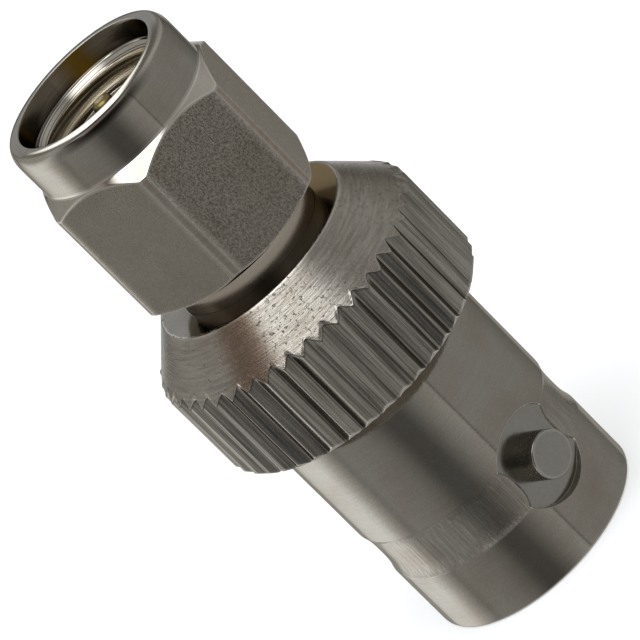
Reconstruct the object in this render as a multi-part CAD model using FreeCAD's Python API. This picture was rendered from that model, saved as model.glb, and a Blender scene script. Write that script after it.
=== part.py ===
import FreeCAD, Part
import math
import os

# Straight coaxial adapter: a threaded plug with a hexagon coupling nut at the top, a bayonet
# jack at the bottom and a knurled collar between them. Everything is in millimetres. The
# common axis is Z: z = 0 is the mouth face of the jack, and +Z runs out of the plug.

# Barrel of the bayonet jack, from its mouth up to the collar
barrel_radius = 4.825
barrel_length = 10.94
mouth_rounding = 0.16
mouth_land = 3.0
groove_depth = 0.125
groove_length = 0.9
groove_front_taper = 0.65
groove_rear_taper = 0.96

# Hollow of the jack and the web that carries its insulator
cavity_radius = 4.06
cavity_depth = 8.4
cavity_lead = 0.15
web_thickness = 2.0

# Bayonet studs and the round flat-bottomed pockets they stand in
stud_radius = 0.98
stud_span = 10.98
stud_height = 4.15
stud_edge = 0.07
shank_radius = 0.7
pocket_radius = 2.03
pocket_floor = 4.46

# Knurled collar and its cone
collar_radius = 6.3
collar_length = 4.03
collar_chamfer = 0.24
cone_height = 2.07
cone_top_radius = 4.5
cone_edge = 0.05
knurl_count = 44
knurl_depth = 0.29
knurl_width = 0.72
knurl_first_angle = 3.1

# Shell of the plug: neck in the body, shoulder, and the sleeve that meets the mating jack
neck_radius = 3.3
neck_height = 4.96
neck_edge = 0.1
sleeve_radius = 2.3
sleeve_length = 2.75
sleeve_edge = 0.1
shell_bore = 2.06

# Split ring that holds the nut, and the two grooves that it lies in
ring_height = 2.65
ring_thickness = 0.7
ring_neck_floor = 2.8
ring_nut_floor = 3.65
ring_gap_angle = 34.0

# Rubber gasket on the shoulder
gasket_thickness = 0.75
gasket_radius = 3.15

# Coupling nut
nut_gap = 1.11
nut_length = 8.45
across_flats = 8.1
across_corners = 9.16
back_face_radius = 4.0
back_chamfer_angle = 30.0
front_chamfer_angle = 45.0
hex_turn = -41.0
nose_radius = 3.95
nose_length = 2.1
nose_rounding = 0.6
nose_face_radius = 3.66
mouth_bore = 3.25
mouth_bore_depth = 0.98
thread_minor_radius = 2.83
thread_lead = 0.27
nut_bore_lead = 0.12

# Insulators
post_radius = 2.36
post_recess = 3.2
jack_flange_radius = 3.1
jack_flange_length = 2.4
plug_flange_radius = 2.6
plug_flange_length = 1.3

# Contacts
socket_radius = 1.03
socket_bore = 0.69
socket_bore_depth = 5.2
socket_recess = 0.3
socket_lead = 0.12
finger_count = 4
finger_length = 4.0
finger_slot = 0.22
contact_collar_radius = 1.35
contact_collar_length = 1.4
pin_radius = 0.46
pin_reach = 0.95
pin_dome = 0.3
pin_body_radius = 0.635
tail_radius = 0.41
tail_length = 1.8

# Clearances, all radial unless the name says otherwise
press_clearance = 0.01
nut_clearance = 0.075
ring_clearance = 0.05
ring_end_clearance = 0.05
gasket_clearance = 0.03
thread_end_clearance = 0.15
finger_clearance = 0.13
tail_end_clearance = 0.2

# Heights worked out from the sizes above
groove_start = mouth_land + groove_front_taper
groove_end = groove_start + groove_length
groove_radius = barrel_radius - groove_depth
web_top = cavity_depth + web_thickness
jack_flange_top = web_top + jack_flange_length
shell_bottom = jack_flange_top + contact_collar_length
cone_foot = barrel_length + collar_length
cone_top = cone_foot + cone_height
shoulder = cone_top + neck_height
sleeve_top = shoulder + sleeve_length
ring_bottom = cone_top + ring_height
ring_top = ring_bottom + ring_thickness
nut_back = cone_top + nut_gap
nut_front = nut_back + nut_length
nose_start = nut_front - nose_length
gasket_top = shoulder + gasket_thickness


def vector(radius, z):
    return FreeCAD.Vector(radius, 0, z)


def spin(outline):
    # Solid turned about Z from a closed outline. A step (radius, z) is reached by a straight
    # line, and a step (middle radius, middle z, radius, z) by the arc through its middle.
    edges = []
    here = vector(*outline[0])
    for step in outline[1:] + outline[:1]:
        there = vector(*step[-2:])
        if len(step) == 4:
            edges.append(Part.Arc(here, vector(*step[:2]), there).toShape())
        else:
            edges.append(Part.makeLine(here, there))
        here = there
    face = Part.Face(Part.Wire(edges))
    return face.revolve(FreeCAD.Vector(), FreeCAD.Vector(0, 0, 1), 360)


def tube(outer, inner, bottom, top):
    return spin([(inner, bottom), (outer, bottom), (outer, top), (inner, top)])


def cylinder_along(direction, radius, start, end, z):
    # Cylinder square to the axis, from one distance to another along a direction in XY
    base = direction * start + FreeCAD.Vector(0, 0, z)
    return Part.makeCylinder(radius, end - start, base, direction)


def knurl_cutter():
    # Everything outside a toothed outline: V grooves whose flanks run on past the collar
    margin = 0.04
    flank = knurl_width / 2 / knurl_depth
    half_angle = (knurl_width / 2 + margin * flank) / (collar_radius + margin)
    corners = []
    for groove in range(knurl_count):
        middle = math.radians(knurl_first_angle + groove * 360 / knurl_count)
        for radius, angle in ((collar_radius + margin, middle - half_angle),
                              (collar_radius - knurl_depth, middle),
                              (collar_radius + margin, middle + half_angle)):
            corners.append(FreeCAD.Vector(radius * math.cos(angle), radius * math.sin(angle),
                                          barrel_length - 1))
    height = cone_top + 1 - corners[0].z
    toothed = Part.Face(Part.makePolygon(corners + corners[:1])).extrude(
        FreeCAD.Vector(0, 0, height))
    blank = Part.makeCylinder(collar_radius + 1, height,
                              FreeCAD.Vector(0, 0, corners[0].z), FreeCAD.Vector(0, 0, 1))
    return blank.cut(toothed)


def main_body():
    # Collar, cone and barrel turned as one piece, with the jack's hollow below the web and the
    # seats of the insulator and the plug's shell above it
    curve = mouth_rounding * (1 - math.sqrt(0.5))
    body = spin([
        (cavity_radius + cavity_lead, 0),
        (barrel_radius - mouth_rounding, 0),
        (barrel_radius - curve, curve, barrel_radius, mouth_rounding),
        (barrel_radius, mouth_land),
        (groove_radius, groove_start),
        (groove_radius, groove_end),
        (barrel_radius, groove_end + groove_rear_taper),
        (barrel_radius, barrel_length),
        (collar_radius - collar_chamfer, barrel_length),
        (collar_radius, barrel_length + collar_chamfer),
        (collar_radius, cone_foot),
        (cone_top_radius + cone_edge, cone_top - cone_edge),
        (cone_top_radius - cone_edge, cone_top),
        (neck_radius + press_clearance, cone_top),
        (neck_radius + press_clearance, shell_bottom),
        (jack_flange_radius + press_clearance, shell_bottom),
        (jack_flange_radius + press_clearance, web_top),
        (post_radius + press_clearance, web_top),
        (post_radius + press_clearance, cavity_depth),
        (cavity_radius, cavity_depth),
        (cavity_radius, cavity_lead),
    ])
    body = body.cut(knurl_cutter())
    for side in (1, -1):
        out = FreeCAD.Vector(side, 0, 0)
        body = body.cut(cylinder_along(out, pocket_radius, pocket_floor, stud_span, stud_height))
        body = body.cut(cylinder_along(out, shank_radius + press_clearance, 0, pocket_floor,
                                       stud_height))
    return body


def bayonet_stud(side):
    # Headed pin: the shank fills the hole in the wall, and the head seats on the pocket's floor
    out = FreeCAD.Vector(side, 0, 0)
    tip = stud_span / 2
    shank = cylinder_along(out, shank_radius, cavity_radius, pocket_floor, stud_height)
    head = cylinder_along(out, stud_radius, pocket_floor, tip - stud_edge, stud_height)
    base = out * (tip - stud_edge) + FreeCAD.Vector(0, 0, stud_height)
    edge = Part.makeCone(stud_radius, stud_radius - stud_edge, stud_edge, base, out)
    return shank.fuse([head, edge]).removeSplitter()


def plug_shell():
    # Neck with the ring's groove, shoulder for the gasket, and the thin sleeve around the pin
    groove_bottom = ring_bottom - ring_end_clearance
    groove_top = ring_top + ring_end_clearance
    seat = plug_flange_radius + press_clearance
    return spin([
        (seat, shell_bottom),
        (neck_radius, shell_bottom),
        (neck_radius, groove_bottom),
        (ring_neck_floor, groove_bottom),
        (ring_neck_floor, groove_top),
        (neck_radius, groove_top),
        (neck_radius, shoulder - neck_edge),
        (neck_radius - neck_edge, shoulder),
        (sleeve_radius, shoulder),
        (sleeve_radius, sleeve_top - sleeve_edge),
        (sleeve_radius - sleeve_edge, sleeve_top),
        (shell_bore, sleeve_top),
        (shell_bore, shell_bottom + plug_flange_length),
        (seat, shell_bottom + plug_flange_length),
    ])


def retaining_ring():
    # Square-section ring with a gap, so that it can be squeezed into the neck's groove
    inner = ring_neck_floor + ring_clearance
    outer = ring_nut_floor - ring_clearance
    section = Part.Face(Part.makePolygon([
        vector(inner, ring_bottom), vector(outer, ring_bottom), vector(outer, ring_top),
        vector(inner, ring_top), vector(inner, ring_bottom)]))
    section.rotate(FreeCAD.Vector(), FreeCAD.Vector(0, 0, 1), ring_gap_angle / 2)
    return section.revolve(FreeCAD.Vector(), FreeCAD.Vector(0, 0, 1), 360 - ring_gap_angle)


def gasket():
    return tube(gasket_radius, sleeve_radius + gasket_clearance, shoulder, gasket_top)


def hexagon_bar():
    # Bar of the nut's hexagon, one corner at the hex_turn angle
    corners = []
    for corner in range(7):
        angle = math.radians(hex_turn + corner * 60)
        reach = across_flats / 2 / math.cos(math.radians(30))
        corners.append(FreeCAD.Vector(reach * math.cos(angle), reach * math.sin(angle), nut_back))
    return Part.Face(Part.makePolygon(corners)).extrude(FreeCAD.Vector(0, 0, nut_length))


def coupling_nut():
    # Turned outline with chamfered corners, narrow lands on the corners and a round nose, cut
    # to the hexagon. Inside: neck bore with the ring's groove, thread core, and mouth bore.
    corner_radius = across_corners / 2
    back_chamfer = (corner_radius - back_face_radius) * math.tan(math.radians(back_chamfer_angle))
    front_chamfer = (corner_radius - nose_radius) * math.tan(math.radians(front_chamfer_angle))
    neck_bore = neck_radius + nut_clearance
    groove_bottom = ring_bottom - ring_end_clearance
    groove_top = ring_top + ring_end_clearance
    relief_top = gasket_top + thread_end_clearance
    thread_top = nut_front - mouth_bore_depth
    # The nose's rounding is tangent to its side and meets the front face at an angle
    arc_centre_radius = nose_radius - nose_rounding
    arc_drop = math.sqrt(nose_rounding ** 2 - (nose_face_radius - arc_centre_radius) ** 2)
    arc_bottom = nut_front - arc_drop
    half = math.asin(arc_drop / nose_rounding) / 2
    arc_middle = (arc_centre_radius + nose_rounding * math.cos(half),
                  arc_bottom + nose_rounding * math.sin(half))
    blank = spin([
        (neck_bore + nut_bore_lead, nut_back),
        (back_face_radius, nut_back),
        (corner_radius, nut_back + back_chamfer),
        (corner_radius, nose_start - front_chamfer),
        (nose_radius, nose_start),
        (nose_radius, arc_bottom),
        arc_middle + (nose_face_radius, nut_front),
        (mouth_bore, nut_front),
        (mouth_bore, thread_top),
        (thread_minor_radius + thread_lead, thread_top),
        (thread_minor_radius, thread_top - thread_lead),
        (thread_minor_radius, relief_top),
        (neck_bore, relief_top),
        (neck_bore, groove_top),
        (ring_nut_floor, groove_top),
        (ring_nut_floor, groove_bottom),
        (neck_bore, groove_bottom),
        (neck_bore, nut_back + nut_bore_lead),
    ])
    return blank.common(hexagon_bar())


def jack_insulator():
    # Post that stands in the jack's hollow, and the flange that seats on the web
    contact_bore = socket_radius + press_clearance
    finger_bore = socket_radius + finger_clearance
    finger_end = post_recess + socket_recess + finger_length
    return spin([
        (finger_bore, post_recess),
        (post_radius, post_recess),
        (post_radius, web_top),
        (jack_flange_radius, web_top),
        (jack_flange_radius, jack_flange_top),
        (contact_bore, jack_flange_top),
        (contact_bore, finger_end),
        (finger_bore, finger_end),
    ])


def plug_insulator():
    # Bead around the pin's body, with a flange held between the shell and the contact's collar
    bore = pin_body_radius + press_clearance
    flange_top = shell_bottom + plug_flange_length
    return spin([
        (bore, shell_bottom),
        (plug_flange_radius, shell_bottom),
        (plug_flange_radius, flange_top),
        (shell_bore - press_clearance, flange_top),
        (shell_bore - press_clearance, sleeve_top),
        (bore, sleeve_top),
    ])


def socket_contact():
    # Slotted socket, with the collar that both insulators clamp and a bore for the pin's tail
    front = post_recess + socket_recess
    tail_bore = tail_radius + press_clearance
    tail_floor = shell_bottom - tail_length - tail_end_clearance
    contact = spin([
        (socket_bore + socket_lead, front),
        (socket_radius, front),
        (socket_radius, jack_flange_top),
        (contact_collar_radius, jack_flange_top),
        (contact_collar_radius, shell_bottom),
        (tail_bore, shell_bottom),
        (tail_bore, tail_floor),
        (0, tail_floor),
        (0, front + socket_bore_depth),
        (socket_bore, front + socket_bore_depth),
        (socket_bore, front + socket_lead),
    ])
    for slot in range(finger_count):
        cut = Part.makeBox(socket_radius + 1, finger_slot, finger_length,
                           FreeCAD.Vector(0, -finger_slot / 2, front))
        cut.rotate(FreeCAD.Vector(), FreeCAD.Vector(0, 0, 1), (slot + 0.5) * 360 / finger_count)
        contact = contact.cut(cut)
    return contact


def pin_contact():
    # Pin with a domed tip, its thicker body in the bead, and the tail in the socket's bore
    tip = sleeve_top + pin_reach
    dome_middle = (pin_radius - pin_dome * (1 - math.sqrt(0.5)),
                   tip - pin_dome * (1 - math.sqrt(0.5)))
    return spin([
        (0, shell_bottom - tail_length),
        (tail_radius, shell_bottom - tail_length),
        (tail_radius, shell_bottom),
        (pin_body_radius, shell_bottom),
        (pin_body_radius, sleeve_top),
        (pin_radius, sleeve_top),
        (pin_radius, tip - pin_dome),
        dome_middle + (pin_radius - pin_dome, tip),
        (0, tip),
    ])


nodes = {
    "main_body": main_body(),
    "bayonet_stud_a": bayonet_stud(1),
    "bayonet_stud_b": bayonet_stud(-1),
    "plug_shell": plug_shell(),
    "retaining_ring": retaining_ring(),
    "gasket": gasket(),
    "coupling_nut": coupling_nut(),
    "jack_insulator": jack_insulator(),
    "plug_insulator": plug_insulator(),
    "socket_contact": socket_contact(),
    "pin_contact": pin_contact(),
}

os.makedirs("parts", exist_ok=True)
for name, shape in nodes.items():
    print(name, "volume", round(shape.Volume, 2), "solids", len(shape.Solids),
          "valid", shape.isValid())
    shape.exportStep("parts/" + name + ".step")
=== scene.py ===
import bpy
import math
import numpy as np
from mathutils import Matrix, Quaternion, Vector


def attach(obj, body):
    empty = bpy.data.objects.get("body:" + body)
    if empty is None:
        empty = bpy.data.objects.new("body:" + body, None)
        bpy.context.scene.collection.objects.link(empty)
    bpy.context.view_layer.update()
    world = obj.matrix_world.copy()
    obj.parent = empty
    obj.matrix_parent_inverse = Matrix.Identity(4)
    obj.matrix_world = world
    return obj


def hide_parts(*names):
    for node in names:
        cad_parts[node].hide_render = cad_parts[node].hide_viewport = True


# Coaxial adapter with a coupling nut, a knurled collar and a bayonet jack. Its axis is Z, and
# the jack's mouth stands on the floor at z = 0. Lengths are in millimetres until a mesh is made.

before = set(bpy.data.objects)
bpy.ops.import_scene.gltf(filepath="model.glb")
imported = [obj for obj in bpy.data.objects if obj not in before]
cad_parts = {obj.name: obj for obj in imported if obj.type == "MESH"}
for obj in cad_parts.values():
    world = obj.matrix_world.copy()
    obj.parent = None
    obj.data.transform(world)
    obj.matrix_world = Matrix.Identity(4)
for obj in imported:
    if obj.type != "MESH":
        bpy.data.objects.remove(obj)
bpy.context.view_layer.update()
millimetre = 0.001
fullTurn = 2 * math.pi


def toLinear(hexColour):
    # sRGB to linear: c / 12.92 up to 0.04045, else ((c + 0.055) / 1.055) to the power 2.4
    c = np.array([int(hexColour[i:i + 2], 16) for i in (1, 3, 5)]) / 255
    return (*np.where(c <= 0.04045, c / 12.92, ((c + 0.055) / 1.055) ** 2.4).tolist(), 1.0)


def addNode(tree, kind, settings=None, links=None):
    # One node: lower-case settings are its properties, the others and the links are its inputs
    node = tree.nodes.new("ShaderNode" + kind)
    for key, value in (settings or {}).items():
        if isinstance(key, str) and key[0].islower():
            setattr(node, key, value)
        else:
            node.inputs[key].default_value = value
    for key, socket in (links or {}).items():
        tree.links.new(socket, node.inputs[key])
    return node


def startMaterial(name):
    # A material and its node tree, emptied
    material = bpy.data.materials.new(name)
    material.use_nodes = True
    material.node_tree.nodes.clear()
    return material, material.node_tree


def addObject(name, data):
    thing = bpy.data.objects.new(name, data)
    bpy.context.scene.collection.objects.link(thing)
    return thing


def roundCorners(outline, rounding, steps=4, support=0.07, most=(0.3, 0.42)):
    # outline is (corners, columns, 2). Each corner P is swapped for the curve
    # (1-t)^2 A + 2t(1-t) P + t^2 B, where A and B lie the corner's rounding away from P along
    # its two sides, and a supporting row follows a little further along each side. Neither
    # takes more than its share "most" of a side. The second result is 1 on the curve and 0 on
    # the supporting rows.
    before, after = np.roll(outline, 1, 0) - outline, np.roll(outline, -1, 0) - outline
    lengthBefore = np.linalg.norm(before, axis=2, keepdims=True)
    lengthAfter = np.linalg.norm(after, axis=2, keepdims=True)
    unitBefore, unitAfter = before / (lengthBefore + 1e-12), after / (lengthAfter + 1e-12)
    size = np.asarray(rounding, float).reshape(-1, 1, 1)
    a = np.minimum(size, lengthBefore * most[0])
    b = np.minimum(size, lengthAfter * most[0])
    a2 = np.minimum(a + support, lengthBefore * most[1])
    b2 = np.minimum(b + support, lengthAfter * most[1])
    t = np.linspace(0, 1, steps)[None, :, None, None]
    start, end = outline + unitBefore * a, outline + unitAfter * b
    curve = ((1 - t) ** 2 * start[:, None] + 2 * t * (1 - t) * outline[:, None]
             + t ** 2 * end[:, None])
    rows = np.concatenate([(outline + unitBefore * a2)[:, None], curve,
                           (outline + unitAfter * b2)[:, None]], 1)
    edge = np.ones(rows.shape[:3])
    edge[:, 0] = edge[:, -1] = 0
    return rows.reshape(-1, *outline.shape[1:]), edge.reshape(-1, outline.shape[1])


def spinPoints(rz, angles):
    # Point = (r cos a, r sin a, z) for outline rows of (r, z) and one angle for each column
    r, z = rz[..., 0], rz[..., 1]
    return np.stack([r * np.cos(angles), r * np.sin(angles), z + 0 * r], -1)


def around(angles, middle, width, power=4):
    # exp(-(d / width)^power), with d the angle from the middle in degrees
    away = (np.degrees(angles) - middle + 180) % 360 - 180
    return np.exp(-(away / width) ** power)


def makeSurface(name, points, body, node, materials, along=True, wearAndPaintedLight=None,
                rubbedFilmsAndShade=None, kinds=None):
    # Quads with the corners (i, j), (i, j+1), (i+1, j+1) and (i+1, j) of the grid of points.
    # The last column joins the first, and along joins the last row to the first. Without
    # along, a first or last row that lies in one point becomes a fan about it. kinds gives the
    # material of each row, or of each cell.
    rows, columns = points.shape[:2]
    index = np.arange(rows * columns).reshape(rows, columns)
    right = np.roll(index, -1, 1)
    if along:
        cells = [index, right, np.roll(right, -1, 0), np.roll(index, -1, 0)]
    else:
        cells = [index[:-1], right[:-1], right[1:], index[1:]]
    grid = cells[0].shape
    flat = points.reshape(-1, 3)
    merged = np.arange(len(flat))
    for row in () if along else (0, rows - 1):
        if np.ptp(points[row], axis=0).max() < 1e-9:
            merged[index[row]] = index[row, 0]
    quads = merged[np.stack(cells, -1).reshape(-1, 4)]
    same = np.stack([quads[:, i] == quads[:, (i + 1) % 4] for i in range(4)], 1)
    fan = same.any(1)
    whole, fans = quads[~fan], quads[fan][~same[fan]].reshape(-1, 3)
    used = np.zeros(len(flat), bool)
    used[whole.ravel()] = used[fans.ravel()] = True
    renumber = np.cumsum(used) - 1
    corners = np.concatenate([renumber[whole].ravel(), renumber[fans].ravel()])
    starts = np.concatenate([np.arange(len(whole)) * 4,
                             len(whole) * 4 + np.arange(len(fans)) * 3])
    mesh = bpy.data.meshes.new(name)
    mesh.vertices.add(int(used.sum()))
    mesh.vertices.foreach_set("co", (flat[used] * millimetre).ravel().astype(np.float32))
    mesh.loops.add(len(corners))
    mesh.loops.foreach_set("vertex_index", corners.astype(np.int32))
    mesh.polygons.add(len(starts))
    mesh.polygons.foreach_set("loop_start", starts.astype(np.int32))
    mesh.update(calc_edges=True)
    mesh.shade_smooth()
    for key, value in (("wearAndPaintedLight", wearAndPaintedLight), ("rubbedFilmsAndShade", rubbedFilmsAndShade)):
        value = np.zeros(len(flat)) if value is None else value.ravel()
        mesh.attributes.new(key, "FLOAT", "POINT").data.foreach_set(
            "value", value[used].astype(np.float32))
    for material in materials:
        mesh.materials.append(material)
    if kinds is not None:
        slots = kinds[:, None] if kinds.ndim == 1 else kinds
        slots = np.broadcast_to(slots[:grid[0]], grid).ravel()
        slots = np.concatenate([slots[~fan], slots[fan]])
        mesh.polygons.foreach_set("material_index", slots.astype(np.int32))
    mesh.validate()
    piece = addObject(name, mesh)
    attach(piece, body)
    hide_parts(node)
    print(name, len(mesh.polygons), "faces")


# Tones of the nickel, warm grey as the photo shows them, and of what lies on it
tones = {
    # The light edge tone also gives painted highlights, and the near-black tone painted shade as
    # well as dirt
    "colour": "#8d8980", "stain": "#7d7367", "dark": "#3f3b34", "bareEdgeAndHighlight": "#c4c0b6",
    "flat": "#827d73", "flatStain": "#777063", "neck": "#827a6e", "neckStain": "#76685c",
    "spot": "#6b6963", "spotStain": "#64615a", "cone": "#7f7b73", "coneStain": "#71695f",
    "knurl": "#96928a", "knurlStain": "#837e72", "bore": "#60584b", "boreStain": "#5f5439",
    "thread": "#b9ad94", "threadStain": "#a58a44", "land": "#898176", "landStain": "#7a7164",
    "stud": "#a39f95", "studStain": "#948b7c", "dirtAndPaintedShade": "#1c1612", "pit": "#55463a",
    # the second brown in this row is a painted brown shade
    "tarnish": "#9a7416", "paintedShadeBrown": "#6a5a40", "rust": "#5a4a3d",
}

plating = {
    "patch": 2.5,           # mm across a patch of the second tone
    "grain": 22.0,          # grains for each mm: real ones are finer, and these just show
    "speckle": 0.2,         # how far the dark between the grains shows
    "depth": 0.02,          # mm of height that the bump's pattern stands for
    "dirtAndShadeShare": 0.96,       # how far a line of dirt or of painted shade covers the metal
    "roughLow": 0.03, "roughHigh": 0.04,   # roughness less and more, by the grain
    "wornRoughness": 0.04,  # added where rubbed is 1
    "grazing": (0.55, 0.54, 0.52, 1),  # fine grain keeps the edges of a shape from going white
    # feed marks lean on a wall, and the two lines that bring the lean to 0 up and down
    "lean": 0.6, "upLine": (-1.343, 0.85), "downLine": (1.1, 0.97),
}

# What each way of machining leaves: its two tones; marks for each mm along x, y and z; how
# dark the marks are; the bump's strength, and in it the weights of marks and grain; how much
# of the lean shows and how fast it eases off as the surface turns up; the roughness. The marks
# of a fine cut are 0.02 mm apart and are drawn about 0.08 mm apart, which is what shows.
finishKeys = ("name", "base", "second", "stretch", "shade", "bump", "marks", "grain", "lean",
              "ease", "roughness")
finishes = {
    # rings around the axis, soft long bands of light and shade
    "turned": ("satin nickel plate, finely turned", "colour", "stain", (0.15, 0.15, 11.0),
               0.06, 0.02, 0.05, 0.3, 1.0, 0.55, 0.09),
    "rim": ("satin nickel plate, turned nut", "colour", "stain", (0.15, 0.15, 11.0),
            0.06, 0.02, 0.05, 0.3, 0.92, 1.1, 0.09),
    # a flat cut that mirrors what is above it, with a painted brown shade on one side
    "faced": ("nickel plate, browned face", "colour", "stain", (0.15, 0.15, 11.0),
              0.06, 0.02, 0.05, 0.3, 0.0, 0.55, 0.09),
    # dull and a little brown from fingers
    "neck": ("nickel plate, handled", "neck", "neckStain", (0.15, 0.15, 11.0),
             0.2, 0.05, 0.5, 0.3, 0.08, 0.65, 0.2),
    # torn rings and dark pits that glitter in the light
    "coarse": ("nickel plate over coarse turning", "cone", "coneStain", (0.8, 0.8, 13.0),
               0.35, 0.55, 0.8, 0.4, 0.0, 0.65, 0.22),
    # a fine mottle without direction, strong or faint
    "milled": ("nickel plate on milled flats", "flat", "flatStain", (15.0, 15.0, 12.0),
               0.8, 0.7, 1.0, 0.5, 0.75, 0.65, 0.26),
    "fine": ("nickel plate on finely milled flats", "flat", "flatStain", (15.0, 15.0, 12.0),
             0.3, 0.35, 1.0, 0.5, 0.75, 0.65, 0.26),
    # dull and even, with no clear reflection
    "land": ("nickel plate, rough turned", "land", "landStain", (0.5, 0.5, 8.0),
             0.2, 0.3, 0.5, 0.5, 0.7, 0.65, 0.42),
    # plain dark grey, nearly even
    "spot": ("nickel plate on a spot face", "spot", "spotStain", (6.0, 6.0, 6.0),
             0.1, 0.05, 0.5, 0.3, 0.0, 0.65, 0.17),
    # a dark core between lighter sides, as on a round bar
    "side": ("nickel plate, drawn round stock", "stud", "studStain", (9.0, 0.3, 0.3),
             0.3, 0.3, 0.7, 0.5, 0.0, 0.65, 0.24),
    # lines along the teeth, bright on the tips and dark in the valleys
    "drawn": ("nickel plate on rolled knurling", "knurl", "knurlStain", (9.0, 9.0, 0.22),
              0.7, 0.3, 1.0, 0.05, 0.9, 0.65, 0.18),
    # brass shows brown through the plate, with amber tarnish
    "bore": ("thin nickel plate in a bore", "bore", "boreStain", (0.3, 0.3, 14.0),
             0.4, 0.1, 1.0, 0.1, 0.45, 0.65, 0.16),
    # bright crests and yellow brown flanks
    "thread": ("nickel plate on a cut thread", "thread", "threadStain", (0.3, 0.3, 22.0),
               0.7, 0.7, 1.0, 0.3, 0.6, 0.65, 0.45),
}

# More patterns, as (marks for each mm, detail, roughness), and more layers of colour
morePatterns = {
    "turned": {"scratches": ((14.0, 14.0, 0.22), 3.0, 0.7)},
    "coarse": {"pits": ((5.5, 5.5, 8.0), 5.0, 0.8)},
}
moreLayers = {
    "bore": [("tarnish", "rubbedFilmsAndShade", 0.0, 1.0, 0.0, 1.0)],
    # a painted brown shade on one side of the face
    "faced": [("paintedShadeBrown", "rubbedFilmsAndShade", 0.0, 1.0, 0.0, 1.0)],
    "coarse": [("rust", "rubbedFilmsAndShade", 0.0, 1.0, 0.0, 1.0), ("pit", "holes", 0.0, 1.0, 0.85, 0.0)],
    "turned": [("dark", "scratches", 0.5, 0.34, 0.0, 0.24),
               ("bareEdgeAndHighlight", "scratches", 0.52, 0.7, 0.0, 0.24)],
}
scratchDepth, pitDepth, pitEdges = 42.0, 0.9, (0.66, 0.58)


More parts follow.
